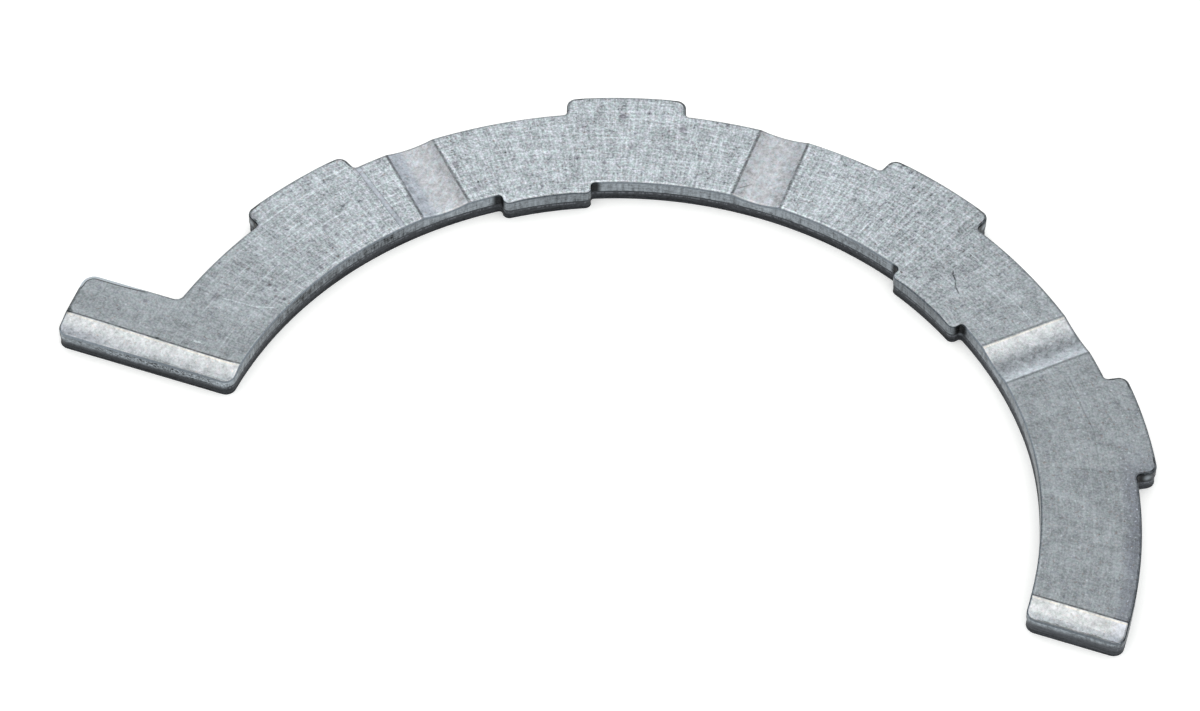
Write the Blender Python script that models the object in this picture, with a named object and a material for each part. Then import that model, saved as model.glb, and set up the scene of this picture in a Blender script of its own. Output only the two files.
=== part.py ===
# Thrust washer: half of a flat ring, stamped from steel strip, that takes a shaft's end load.
# Its outer edge has lugs, its inner edge has tabs, and one end runs out into a square foot.
# Oil grooves cross the bearing face, and both ends fall away to the parting line in a relief.
# Metres, +Z out of the bearing face, +Y to the crown. The shaft's axis stands on the point
# that every function here calls the centre, and the finished part is moved so that the
# middle of its back face lies on the origin.

import bmesh
import bpy
from math import acos, asin, atan2, ceil, cos, hypot, pi, radians, sin, sqrt
from mathutils import Vector

# Ring
BORE_RADIUS = 0.0406
RING_WIDTH = 0.0094
THICKNESS = 0.0025
PARTING_HEIGHT = 0.00095  # the ends stop this far above the shaft's centre line

# Lugs on the outer edge
LUG_ANGLES = (31.4, 71.1, 109.0, 149.0)  # degrees round the ring from the plain end
LUG_RISE = 0.0021
LUG_WIDTH = 0.0121
LUG_CORNER = 0.0010
LUG_ROOT = 0.0004

# Tabs on the inner edge
TAB_ANGLES = (60.3, 120.3)
TAB_RISE = 0.0012
TAB_WIDTH = 0.0091
TAB_CORNER = 0.0007
TAB_ROOT = 0.0003

# Foot that stops the washer from turning
FOOT_LENGTH = 0.0092  # past the ring's outer edge
FOOT_HEIGHT = 0.0078  # from the parting face to the foot's upper side
FOOT_CORNER = 0.0013
FOOT_ROOT = 0.0008
END_CORNER = 0.0011  # on the corners of both parting faces

# Oil grooves and end reliefs in the bearing face
GROOVE_ANGLES = (45.4, 90.2, 135.0)
GROOVE_WIDTH = 0.0050
GROOVE_DEPTH = 0.0004
RELIEF_RUN = 0.0026  # from the parting face to where the relief begins
RELIEF_OVERRUN = 0.0004  # past the parting face, where the relief's arc would be lowest
RELIEF_DEPTH = 0.00046  # at that lowest point

# Plain end of the bore, which coining leaves a little closer to the shaft
CLOSE_IN = 0.00033
CLOSE_IN_START = radians(35)  # round the bore, where it begins
CLOSE_IN_FULL = radians(12)  # and where it is complete

# Sheared edge, from the rounded rim of the bearing face to the torn rim of the back
EDGE_ROLL = 0.0002
BURNISH_DEPTH = 0.00125  # from the bearing face to the end of the smooth band
TEAR_STEP = 0.00004
TEAR_LEAN = 0.00008
TEAR_LEDGE = 0.00005

# Fineness of the curves
CHORD_ERROR = 0.00001
ROLL_STEPS = 3
STRAIGHT_FLANK = 0.15  # least share of a lug's side that its two fillets leave straight
SAME_POINT = 1e-7
CREASE = radians(40)

OUTER_RADIUS = BORE_RADIUS + RING_WIDTH
CENTRE = Vector((0.0, 0.0))
RIGHT = Vector((1.0, 0.0))
UP = Vector((0.0, 1.0))


def clear_scene():
    for thing in list(bpy.data.objects):
        bpy.data.objects.remove(thing, do_unlink=True)


def polar(angle, radius=1.0):
    return Vector((radius * cos(angle), radius * sin(angle)))


def angle_of(vector):
    return atan2(vector.y, vector.x)


def arc(centre, radius, start, end):
    """Points along an arc, both ends included, as close together as the chord error asks."""
    step = 2 * acos(max(0.0, 1 - CHORD_ERROR / radius))
    count = max(1, ceil(abs(end - start) / step))
    return [centre + polar(start + (end - start) * k / count, radius) for k in range(count + 1)]


def fillet(centre, radius, first, last):
    """The short arc about centre from the direction first to the direction last."""
    start = angle_of(first)
    sweep = (angle_of(last) - start + pi) % (2 * pi) - pi
    return arc(centre, radius, start, start + sweep)


def lug_side(axis, side, rim, rise, width, corner, root):
    """One side of a lug, from the rim to its tip. A negative rise points towards the centre."""
    outward = 1 if rise > 0 else -1
    shrink = min(1.0, (1 - STRAIGHT_FLANK) * abs(rise) / (corner + root))
    corner, root = corner * shrink, root * shrink
    along = polar(radians(axis))
    across = side * Vector((-along.y, along.x))
    root_reach = rim + outward * root
    root_offset = width / 2 + root
    root_centre = along * sqrt(root_reach**2 - root_offset**2) + across * root_offset
    corner_reach = rim + rise - outward * corner
    corner_offset = width / 2 - corner
    corner_centre = along * sqrt(corner_reach**2 - corner_offset**2) + across * corner_offset
    foot_of_side = fillet(root_centre, root, -outward * root_centre, -across)
    head_of_side = fillet(corner_centre, corner, across, outward * corner_centre)
    return foot_of_side + head_of_side


def toothed_rim(rim, axes, rise, width, corner, root, start, end):
    """A circular rim with lugs on it, anticlockwise from start to end."""
    points = []
    angle = start
    for axis in sorted(axes):
        near = lug_side(axis, -1, rim, rise, width, corner, root)
        far = lug_side(axis, 1, rim, rise, width, corner, root)
        points += arc(CENTRE, rim, angle, angle_of(near[0])) + near
        points += arc(CENTRE, rim + rise, angle_of(near[-1]), angle_of(far[-1])) + far[::-1]
        angle = angle_of(far[0])
    return points + arc(CENTRE, rim, angle, end)


def end_corner(side, rim, inward):
    """Centre of the round corner where a parting face meets the rim on that side of the washer."""
    reach = rim + inward * END_CORNER
    height = PARTING_HEIGHT + END_CORNER
    return Vector((side * sqrt(reach**2 - height**2), height))


def foot_outline():
    """From the ring's outer rim round the foot to the parting face."""
    top = PARTING_HEIGHT + FOOT_HEIGHT
    tip = -OUTER_RADIUS - FOOT_LENGTH
    root_height = top + FOOT_ROOT
    root_reach = OUTER_RADIUS + FOOT_ROOT
    root_centre = Vector((-sqrt(root_reach**2 - root_height**2), root_height))
    upper = Vector((tip + FOOT_CORNER, top - FOOT_CORNER))
    lower = Vector((tip + END_CORNER, PARTING_HEIGHT + END_CORNER))
    points = fillet(root_centre, FOOT_ROOT, -root_centre, -UP)
    points += fillet(upper, FOOT_CORNER, UP, -RIGHT)
    points += fillet(lower, END_CORNER, -RIGHT, -UP)
    return points


def closed_in(point):
    """The point moved with the plain end of the bore; the outer rim stays where it is."""
    along = (CLOSE_IN_START - angle_of(point)) / (CLOSE_IN_START - CLOSE_IN_FULL)
    along = min(1.0, max(0.0, along))
    across = min(1.0, max(0.0, (OUTER_RADIUS - point.length) / RING_WIDTH))
    return point - RIGHT * CLOSE_IN * across * along**2 * (3 - 2 * along)


def outline():
    """The washer's outline seen from above the bearing face, anticlockwise, without repeats."""
    outer_corner = end_corner(1, OUTER_RADIUS, -1)
    bore_corner = end_corner(1, BORE_RADIUS, 1)
    foot_corner = end_corner(-1, BORE_RADIUS, 1)
    foot = foot_outline()
    points = fillet(outer_corner, END_CORNER, -UP, outer_corner)
    points += toothed_rim(
        OUTER_RADIUS, LUG_ANGLES, LUG_RISE, LUG_WIDTH, LUG_CORNER, LUG_ROOT,
        angle_of(outer_corner), angle_of(foot[0]),
    )
    points += foot
    points += fillet(foot_corner, END_CORNER, -UP, -foot_corner)
    bore = toothed_rim(
        BORE_RADIUS, TAB_ANGLES, -TAB_RISE, TAB_WIDTH, TAB_CORNER, TAB_ROOT,
        angle_of(bore_corner), angle_of(foot_corner),
    )
    points += bore[::-1]
    points += fillet(bore_corner, END_CORNER, -bore_corner, -UP)
    points = [closed_in(point) for point in points]
    pairs = zip(points, points[-1:] + points)
    return [point for point, before in pairs if (point - before).length > SAME_POINT]


def inset(points, distance):
    """The outline moved into the metal by a distance, corner for corner."""
    moved = []
    for before, point, after in zip(points[-1:] + points, points, points[1:] + points[:1]):
        arriving = (point - before).normalized()
        leaving = (after - point).normalized()
        first = Vector((-arriving.y, arriving.x))
        second = Vector((-leaving.y, leaving.x))
        moved.append(point + (first + second) * distance / (1 + first.dot(second)))
    return moved


def edge_section():
    """The sheared edge as (inset, height) pairs, from the back face to the bearing face."""
    burnish_end = THICKNESS - BURNISH_DEPTH
    section = [
        (TEAR_STEP + TEAR_LEAN, 0.0),
        (TEAR_STEP, burnish_end - TEAR_LEDGE),
        (0.0, burnish_end),
    ]
    for k in range(ROLL_STEPS + 1):
        turn = k * pi / 2 / ROLL_STEPS
        section.append((EDGE_ROLL * (1 - cos(turn)), THICKNESS - EDGE_ROLL * (1 - sin(turn))))
    return section


def stamp_blank(mesh):
    """The flat blank: its outline swept up the sheared edge's section, closed by both faces."""
    points = outline()
    rings = []
    for distance, height in edge_section():
        rings.append([mesh.verts.new((p.x, p.y, height)) for p in inset(points, distance)])
    for low, high in zip(rings, rings[1:]):
        for k in range(len(points)):
            mesh.faces.new((low[k - 1], low[k], high[k], high[k - 1]))
    mesh.faces.new(rings[0][::-1])
    mesh.faces.new(rings[-1])
    return points


def channel_radius(half_width, depth):
    return (half_width**2 + depth**2) / (2 * depth)


def channels():
    """Each groove and the reliefs as (point on its middle, direction across it, half width, depth)."""
    found = [(CENTRE, polar(radians(a + 90)), GROOVE_WIDTH / 2, GROOVE_DEPTH) for a in GROOVE_ANGLES]
    lowest = Vector((0.0, PARTING_HEIGHT - RELIEF_OVERRUN))
    found.append((lowest, UP, RELIEF_RUN + RELIEF_OVERRUN, RELIEF_DEPTH))
    return found


def channel_drop(distance, half_width, depth):
    """How far a channel's round floor lies below the bearing face."""
    if abs(distance) >= half_width:
        return 0.0
    radius = channel_radius(half_width, depth)
    return max(0.0, sqrt(radius**2 - distance**2) - radius + depth)


def on_bearing_side(vertex):
    """Whether a point of the flat blank lies on the bearing face or on its rolled rim."""
    return vertex.co.z > THICKNESS - EDGE_ROLL - SAME_POINT


def split_along(mesh, middle, across, distance):
    """A line across the bearing face and its rolled rim, parallel to a channel."""
    faces = [face for face in mesh.faces if all(on_bearing_side(v) for v in face.verts)]
    parts = set(faces)
    for face in faces:
        parts.update(face.edges)
        parts.update(face.verts)
    point = middle + across * distance
    bmesh.ops.bisect_plane(
        mesh, geom=list(parts), dist=SAME_POINT, plane_co=point.to_3d(), plane_no=across.to_3d()
    )


def coin_channels(mesh):
    """Presses the grooves and the end reliefs into the bearing face, as the die does."""
    for middle, across, half_width, depth in channels():
        radius = channel_radius(half_width, depth)
        half_sweep = asin(half_width / radius)
        steps = ceil(half_sweep / acos(1 - CHORD_ERROR / radius) / 2)
        for k in range(-steps, steps + 1):
            split_along(mesh, middle, across, radius * sin(half_sweep * k / steps))
    for vertex in mesh.verts:
        if on_bearing_side(vertex):
            place = vertex.co.to_2d()
            vertex.co.z -= max(
                channel_drop((place - middle).dot(across), half_width, depth)
                for middle, across, half_width, depth in channels()
            )


def smooth_curves(mesh):
    """Smooth shading along the rounds, and a crease round the flats of the bearing face."""
    for face in mesh.faces:
        face.smooth = True
    for edge in mesh.edges:
        flats = [all(v.co.z > THICKNESS - SAME_POINT for v in face.verts) for face in edge.link_faces]
        edge.smooth = edge.calc_face_angle() < CREASE and flats.count(True) != 1


def bearing_metal():
    metal = bpy.data.materials.new("bearing_metal")
    metal.use_nodes = True
    shader = metal.node_tree.nodes["Principled BSDF"]
    shader.inputs["Base Color"].default_value = (0.40, 0.42, 0.44, 1.0)
    shader.inputs["Metallic"].default_value = 1.0
    shader.inputs["Roughness"].default_value = 0.42
    return metal


def thrust_washer():
    mesh = bmesh.new()
    points = stamp_blank(mesh)
    coin_channels(mesh)
    mesh.normal_update()
    smooth_curves(mesh)
    data = bpy.data.meshes.new("thrust_washer")
    mesh.to_mesh(data)
    mesh.free()
    data.materials.append(bearing_metal())
    washer = bpy.data.objects.new("thrust_washer", data)
    bpy.context.scene.collection.objects.link(washer)
    for axis in (0, 1):
        reach = [point[axis] for point in points]
        washer.location[axis] = -(min(reach) + max(reach)) / 2
    return washer


clear_scene()
thrust_washer()
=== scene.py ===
# Looks of a stamped half-ring thrust washer, lying on a white table in soft studio light.
from math import asin, atan2, cos, degrees, pi, radians, sin, sqrt
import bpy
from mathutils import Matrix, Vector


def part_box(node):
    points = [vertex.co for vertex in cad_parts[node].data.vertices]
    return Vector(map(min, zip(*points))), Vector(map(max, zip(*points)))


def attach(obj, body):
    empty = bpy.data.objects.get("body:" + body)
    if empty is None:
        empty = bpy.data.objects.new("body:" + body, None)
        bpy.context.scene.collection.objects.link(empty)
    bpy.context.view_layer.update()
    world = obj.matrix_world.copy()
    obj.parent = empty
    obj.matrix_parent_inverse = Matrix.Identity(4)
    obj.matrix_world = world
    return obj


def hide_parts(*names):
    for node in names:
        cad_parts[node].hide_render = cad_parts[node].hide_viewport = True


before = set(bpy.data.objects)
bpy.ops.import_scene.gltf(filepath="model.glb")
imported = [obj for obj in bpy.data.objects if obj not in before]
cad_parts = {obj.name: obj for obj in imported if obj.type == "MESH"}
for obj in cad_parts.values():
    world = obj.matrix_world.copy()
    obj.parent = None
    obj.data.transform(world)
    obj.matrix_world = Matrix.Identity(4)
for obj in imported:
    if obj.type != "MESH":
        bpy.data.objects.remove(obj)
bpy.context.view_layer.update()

from types import SimpleNamespace

import bpy
from mathutils import Matrix, Vector

lowCorner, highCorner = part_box("thrust_washer")

# the blank, in metres, read off the solid where it can be
ring = {
    "bore": 0.0406,
    "outer": 0.0500,
    "thick": highCorner.z - lowCorner.z,
    "footReach": 0.0092,  # past the outer rim
    "partingRise": 0.00095,  # the ends stop this far above the shaft's centre
    "lugs": (31.4, 71.1, 109.0, 149.0),
    "lugRise": 0.0021,
    "lugWidth": 0.0121,
    "lugCorner": 0.0010,
    "lugRoot": 0.0004,
    "tabs": (60.3, 120.3),
    "tabRise": 0.0012,
    "tabWidth": 0.0091,
    "tabCorner": 0.0007,
    "tabRoot": 0.0003,
    "footHeight": 0.0078,
    "footCorner": 0.0013,
    "footRoot": 0.0008,
    "endCorner": 0.0011,
    "roundShare": 0.85,  # most of a lug's or tab's side that its two rounds may take
    "spacing": 0.00022,  # between points of the outline
}
shaftX = lowCorner.x + ring["footReach"] + ring["outer"]
shaftY = lowCorner.y - ring["partingRise"]
shaft = Vector((shaftX, shaftY))
partingY = lowCorner.y


def say(stage):
    print("washer scene:", stage)


def direction(angle):
    return Vector((cos(angle), sin(angle)))


def bearing(vector):
    return atan2(vector.y, vector.x)


def startAt(point, name):
    # a small plane merged to one vertex is where the outline starts
    bpy.ops.object.select_all(action="DESELECT")
    bpy.ops.mesh.primitive_plane_add(size=ring["spacing"], location=(point.x, point.y, 0))
    bpy.context.object.name = name
    bpy.ops.object.transform_apply()
    bpy.ops.object.mode_set(mode="EDIT")
    bpy.ops.mesh.select_all(action="SELECT")
    bpy.ops.mesh.merge(type="CENTER")
    bpy.ops.mesh.select_mode(type="VERT")
    return bpy.context.object


def walkLine(pen, target):
    # straight run: the last vertex is extruded in equal steps
    run = target - pen["at"]
    steps = max(1, round(run.length / ring["spacing"]))
    for _ in range(steps):
        step = run / steps
        bpy.ops.mesh.extrude_vertices_move(TRANSFORM_OT_translate={"value": (step.x, step.y, 0)})
    pen["at"] = target


def walkArc(pen, centre, turn):
    # arc: the last vertex is spun about its centre, anticlockwise for a positive turn
    radius = (pen["at"] - centre).length
    steps = max(3, round(radius * abs(turn) / ring["spacing"]))
    bpy.ops.mesh.spin(  # its own angle is clockwise
        steps=steps, dupli=False, angle=-turn, use_auto_merge=False,
        center=(centre.x, centre.y, 0), axis=(0, 0, 1),
    )
    pen["at"] = centre + Matrix.Rotation(turn, 2) @ (pen["at"] - centre)


def turnTo(pen, centre, target, sign):
    # the turn about a centre from where the pen is to the direction of a target
    start = bearing(pen["at"] - centre)
    return sign * ((sign * (bearing(target - centre) - start)) % (2 * pi))


def toothCorners(axis, side, rim, rise, width, corner, root):
    # centres of the root fillet and the tip corner on one side of a lug or tab
    outward = 1 if rise > 0 else -1
    shrink = min(1, ring["roundShare"] * abs(rise) / (corner + root))
    corner, root = corner * shrink, root * shrink
    along = direction(radians(axis))
    across = side * Vector((-along.y, along.x))
    rootReach, rootAside = rim + outward * root, width / 2 + root
    tipReach, tipAside = rim + rise - outward * corner, width / 2 - corner
    rootCentre = shaft + along * sqrt(rootReach**2 - rootAside**2) + across * rootAside
    tipCentre = shaft + along * sqrt(tipReach**2 - tipAside**2) + across * tipAside
    return rootCentre, root, tipCentre, corner, across


def walkTooth(pen, rim, axis, rise, width, corner, root, way):
    # round one lug or tab, anticlockwise about the shaft for way 1
    outward = 1 if rise > 0 else -1
    near = toothCorners(axis, -way, rim, rise, width, corner, root)
    far = toothCorners(axis, way, rim, rise, width, corner, root)
    rootCentre, rootRadius, tipCentre, tipRadius, across = near
    rimTouch = rootCentre - outward * (rootCentre - shaft).normalized() * rootRadius
    walkArc(pen, shaft, turnTo(pen, shaft, rimTouch, way))
    sideTouch = rootCentre - across * rootRadius
    walkArc(pen, rootCentre, turnTo(pen, rootCentre, sideTouch, -way * outward))
    walkLine(pen, tipCentre + across * tipRadius)
    tipTouch = tipCentre + outward * (tipCentre - shaft).normalized() * tipRadius
    walkArc(pen, tipCentre, turnTo(pen, tipCentre, tipTouch, way * outward))
    rootCentre, rootRadius, tipCentre, tipRadius, across = far
    tipTouch = tipCentre + outward * (tipCentre - shaft).normalized() * tipRadius
    walkArc(pen, shaft, turnTo(pen, shaft, tipTouch, way))
    walkArc(pen, tipCentre, turnTo(pen, tipCentre, tipCentre + across * tipRadius, way * outward))
    walkLine(pen, rootCentre - across * rootRadius)
    rimTouch = rootCentre - outward * (rootCentre - shaft).normalized() * rootRadius
    walkArc(pen, rootCentre, turnTo(pen, rootCentre, rimTouch, -way * outward))


def endCentre(side, rim, inward):
    reach = rim + inward * ring["endCorner"]
    height = ring["partingRise"] + ring["endCorner"]
    return shaft + Vector((side * sqrt(reach**2 - height**2), height))


def drawOutline():
    # once round the washer, anticlockwise, from the plain end's parting face
    right, up = Vector((1, 0)), Vector((0, 1))
    corner = ring["endCorner"]
    outerEnd = endCentre(1, ring["outer"], -1)
    boreEnd = endCentre(1, ring["bore"], 1)
    footEnd = endCentre(-1, ring["bore"], 1)
    pen = {"at": outerEnd - up * corner}
    washer = startAt(pen["at"], "washer_body")
    rimTouch = outerEnd + (outerEnd - shaft).normalized() * corner
    walkArc(pen, outerEnd, turnTo(pen, outerEnd, rimTouch, 1))
    lug = [ring[k] for k in ("lugRise", "lugWidth", "lugCorner", "lugRoot")]
    for axis in sorted(ring["lugs"]):
        walkTooth(pen, ring["outer"], axis, *lug, 1)
    footTop = partingY + ring["footHeight"]
    footTip = shaft.x - ring["outer"] - ring["footReach"]
    rootY = footTop + ring["footRoot"]
    reach = ring["outer"] + ring["footRoot"]
    footRoot = Vector((shaft.x - sqrt(reach**2 - (rootY - shaft.y) ** 2), rootY))
    rimTouch = footRoot + (shaft - footRoot).normalized() * ring["footRoot"]
    walkArc(pen, shaft, turnTo(pen, shaft, rimTouch, 1))
    walkArc(pen, footRoot, turnTo(pen, footRoot, footRoot - up, -1))
    upper = Vector((footTip + ring["footCorner"], footTop - ring["footCorner"]))
    walkLine(pen, upper + up * ring["footCorner"])
    walkArc(pen, upper, turnTo(pen, upper, upper - right, 1))
    lower = Vector((footTip + corner, partingY + corner))
    walkLine(pen, lower - right * corner)
    walkArc(pen, lower, turnTo(pen, lower, lower - up, 1))
    walkLine(pen, footEnd - up * corner)
    boreTouch = footEnd - (footEnd - shaft).normalized() * corner
    walkArc(pen, footEnd, turnTo(pen, footEnd, boreTouch, 1))
    tab = [-ring["tabRise"]] + [ring[k] for k in ("tabWidth", "tabCorner", "tabRoot")]
    for axis in sorted(ring["tabs"], reverse=True):
        walkTooth(pen, ring["bore"], axis, *tab, -1)
    boreTouch = boreEnd - (boreEnd - shaft).normalized() * corner
    walkArc(pen, shaft, turnTo(pen, shaft, boreTouch, -1))
    walkArc(pen, boreEnd, turnTo(pen, boreEnd, boreEnd - up, 1))
    walkLine(pen, outerEnd - up * corner)
    bpy.ops.mesh.select_all(action="SELECT")
    bpy.ops.mesh.remove_doubles(threshold=1e-6)
    bpy.ops.mesh.edge_face_add()
    bpy.ops.mesh.normals_make_consistent(inside=False)
    bpy.ops.object.mode_set(mode="OBJECT")
    return washer


# the channels coined into the bearing face
channel = {
    "grooves": (45.4, 90.2, 135.0),
    "halfWidth": 0.0025,
    "depth": 0.0004,
    "reliefRun": 0.0026,  # from the parting face to the step where the relief begins
    "reliefOverrun": 0.0004,  # past the parting face, where its arc would be lowest
    "reliefDepth": 0.00046,
    "lines": 16,  # cuts across each groove, and half of them across a relief
    "firstLine": 3,  # the relief's cuts below this one would miss the blank
}

# the cuts between the channels, which keep faces short
cuts = {
    "from": 4,  # degrees round the ring
    "to": 172,
    "apart": 2,
    "grooveClear": 4,  # degrees kept free beside a groove's middle
    "sideClear": 1,  # and beside the side of a lug or tab
    "footApart": 0.0018,
    "footCount": 9,
    "footHigh": 0.009,  # the foot's cuts stay below this height over the parting face
    "weld": 0.00004,
}


def channels():
    # each as a point on its middle, the direction across it, its half width and its depth
    found = []
    for angle in channel["grooves"]:
        found.append((shaft, direction(radians(angle + 90)), channel["halfWidth"], channel["depth"]))
    lowest = Vector((shaft.x, partingY - channel["reliefOverrun"]))
    reach = channel["reliefRun"] + channel["reliefOverrun"]
    found.append((lowest, Vector((0, 1)), reach, channel["reliefDepth"]))
    return found


def channelDrop(place):
    # how far the die has pressed the bearing face down here
    deepest = 0
    for middle, across, halfWidth, depth in channels():
        aside = (place - middle).dot(across)
        if abs(aside) < halfWidth:
            radius = (halfWidth**2 + depth**2) / (2 * depth)
            deepest = max(deepest, sqrt(radius**2 - aside**2) - radius + depth)
    return deepest


def cutBlank(point, normal, near=None):
    # a straight cut through the flat blank's faces, all of them or those that near() picks
    blank = bpy.context.object
    bpy.ops.object.mode_set(mode="OBJECT")
    for face in blank.data.polygons:
        face.select = near is None or near(face.center.to_2d())
    bpy.ops.object.mode_set(mode="EDIT")
    bpy.ops.mesh.bisect(plane_co=(point.x, point.y, 0), plane_no=(normal.x, normal.y, 0), threshold=1e-7)


def cutForChannels():
    # cuts where the face will bend, and between them so that no face is long
    bpy.ops.object.mode_set(mode="EDIT")
    bpy.ops.mesh.select_mode(type="FACE")
    for middle, across, halfWidth, depth in channels():
        radius = (halfWidth**2 + depth**2) / (2 * depth)
        sweep = asin(halfWidth / radius)
        half = channel["lines"] // 2
        first = -half if middle == shaft else channel["firstLine"]
        for k in range(first, half + 1):
            cutBlank(middle + across * radius * sin(sweep * k / half), across)
    # radial cuts keep clear of the grooves and of the sides of lugs and tabs
    lugHalf = degrees(asin(ring["lugWidth"] / 2 / ring["outer"]))
    tabHalf = degrees(asin(ring["tabWidth"] / 2 / ring["bore"]))
    keepOff = [(angle, 0, cuts["grooveClear"]) for angle in channel["grooves"]]
    keepOff += [(axis, lugHalf, cuts["sideClear"]) for axis in ring["lugs"]]
    keepOff += [(axis, tabHalf, cuts["sideClear"]) for axis in ring["tabs"]]
    for angle in range(cuts["from"], cuts["to"] + 1, cuts["apart"]):
        if all(abs(abs(angle - axis) - aside) > clear for axis, aside, clear in keepOff):
            cutBlank(shaft, direction(radians(angle + 90)))

    def onFoot(middle):
        return middle.x < shaft.x - ring["bore"] and middle.y < partingY + cuts["footHigh"]

    footX = shaft.x - ring["outer"] - ring["footReach"]
    for k in range(1, cuts["footCount"] + 1):
        cutBlank(Vector((footX + cuts["footApart"] * k, 0)), Vector((1, 0)), onFoot)
    bpy.ops.mesh.select_all(action="SELECT")
    bpy.ops.mesh.remove_doubles(threshold=cuts["weld"])
    bpy.ops.object.mode_set(mode="OBJECT")


# the sheared edge, from the burnished band up to the rolled rim and down to the torn back
edge = {
    "seam": 0.00125,  # height where the smooth band ends
    "bandLevels": 7,
    "rollWidth": 0.00026,
    "rollDepth": 0.00020,
    "rollSteps": 5,
    "guards": (0.00005, 0.00010),  # rings inside the roll
    "crease": 50,  # degrees; flatter edges are shaded smooth
    # each ring of the torn band: how far it steps in and drops
    "tear": ((0.00003, 0.00004), (0.0, 0.00008), (0.0, 0.00013), (0.0, 0.00014), (0.0, 0.00014),
             (0.00001, 0.00014), (0.0, 0.00014), (0.0, 0.00014), (0.0, 0.00014), (0.00001, 0.00016)),
}


def markRim(body):
    # distance along the rim, kept on each point for the streaks in the sheared band
    links = {}
    faces = {}
    for face in body.data.polygons:
        for key in face.edge_keys:
            faces[key] = faces.get(key, 0) + 1
    for a, b in (key for key, count in faces.items() if count == 1):
        links.setdefault(a, []).append(b)
        links.setdefault(b, []).append(a)
    points = [v.co.to_2d() for v in body.data.vertices]
    first = max(links, key=lambda i: points[i].y)
    run = body.data.attributes.new("rimRun", "FLOAT", "POINT")
    before, here, length = None, first, 0.0
    while True:
        run.data[here].value = length
        after = links[here][0] if links[here][0] != before else links[here][1]
        length += (points[after] - points[here]).length
        before, here = here, after
        if here == first:
            return length


def pickFlat(body, height):
    bpy.ops.object.mode_set(mode="OBJECT")
    for part in (body.data.vertices, body.data.edges):
        part.foreach_set("select", [False] * len(part))
    for face in body.data.polygons:
        face.select = abs(face.normal.z) > 0.99 and abs(face.center.z - height) < 1e-6
    bpy.ops.object.mode_set(mode="EDIT")


def stepIn(width, rise):
    bpy.ops.mesh.inset(thickness=width, depth=rise, use_boundary=True, use_even_offset=True)


def keepInset(body, inside):
    # how far inside the rim the chosen points lie, in millimetres, for the tone of the roll
    bpy.ops.object.mode_set(mode="OBJECT")
    inset = body.data.attributes["rimIn"]
    for vertex in body.data.vertices:
        if vertex.select:
            inset.data[vertex.index].value = inside * 1000
    bpy.ops.object.mode_set(mode="EDIT")


def raiseBody(body):
    seam = edge["seam"]
    bpy.ops.object.mode_set(mode="EDIT")
    bpy.ops.mesh.select_mode(type="FACE")
    bpy.ops.mesh.select_all(action="SELECT")
    bpy.ops.transform.translate(value=(0, 0, seam))
    band = ring["thick"] - edge["rollDepth"] - seam
    for _ in range(edge["bandLevels"]):
        bpy.ops.mesh.extrude_region_move(TRANSFORM_OT_translate={"value": (0, 0, band / edge["bandLevels"])})
    bpy.ops.mesh.select_all(action="SELECT")
    bpy.ops.mesh.normals_make_consistent(inside=False)
    bpy.ops.object.mode_set(mode="OBJECT")
    body.data.attributes.new("rimIn", "FLOAT", "POINT")
    pickFlat(body, seam + band)
    steps = edge["rollSteps"]
    turns = [k * pi / 2 / steps for k in range(steps + 1)]
    for low, high in zip(turns, turns[1:]):
        stepIn(edge["rollWidth"] * (cos(low) - cos(high)), edge["rollDepth"] * (sin(high) - sin(low)))
        keepInset(body, edge["rollWidth"] * (1 - cos(high)))
    inside = edge["rollWidth"]
    for width in edge["guards"]:
        stepIn(width, 0)
        inside += width
        keepInset(body, inside)
    pickFlat(body, seam)
    for width, drop in edge["tear"]:
        stepIn(width, drop)
    bpy.ops.object.mode_set(mode="OBJECT")


def shareOf(body, name, amount):
    # a vertex group whose weights are worked out from each point's place
    group = body.vertex_groups.new(name=name)
    for vertex in body.data.vertices:
        share = amount(vertex.co)
        if share > 0:
            group.add([vertex.index], min(1, share), "REPLACE")
    return group.name


def press(body, name, group, axis, depth, grain=None):
    # one displacement, applied: along Z or the normal, by depth or by a cloud texture
    bpy.ops.object.select_all(action="DESELECT")
    body.select_set(True)
    bpy.context.view_layer.objects.active = body
    push = body.modifiers.new(name, "DISPLACE")
    push.vertex_group = group
    push.direction = axis
    push.strength = depth
    push.mid_level = 0
    if grain:
        cloud = bpy.data.textures.new(name, "CLOUDS")
        cloud.noise_scale = grain
        cloud.noise_depth = 2
        push.texture = cloud
        push.texture_coords = "LOCAL"
    bpy.ops.object.modifier_apply(modifier=push.name)


wear = {
    "tornGrain": 0.0005,
    "tornDepth": 0.00008,
    "tornFrom": 0.00005,  # the rough stretch of the torn band, above the back face
    "tornBelow": 0.00003,  # and below the seam
    "pocket": 0.0011,  # how far the shade reaches round the roots of lugs and tabs
    "cornerSag": 0.00022,  # how far the rim sinks at the lugs' and tabs' corners
    "cornerReach": 0.0014,
    "closeIn": 0.00033,  # how far the plain end of the bore has moved in
    "closeStart": 35,  # degrees round the bore, where it begins
    "closeFull": 12,
}


def allTeeth():
    lug = [ring[k] for k in ("outer", "lugRise", "lugWidth", "lugCorner", "lugRoot")]
    tab = [ring["bore"], -ring["tabRise"]] + [ring[k] for k in ("tabWidth", "tabCorner", "tabRoot")]
    sides = [(axis, side, lug) for axis in ring["lugs"] for side in (-1, 1)]
    sides += [(axis, side, tab) for axis in ring["tabs"] for side in (-1, 1)]
    return [toothCorners(axis, side, *sizes) for axis, side, sizes in sides]


def shadeCorners(body, name, spots, reach):
    # 1 at the given spots, falling to 0 at the reach, kept on each point
    near = body.data.attributes.new(name, "FLOAT", "POINT")
    for vertex in body.data.vertices:
        nearest = min((vertex.co.to_2d() - spot).length for spot in spots)
        near.data[vertex.index].value = max(0, 1 - nearest / reach)


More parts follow.
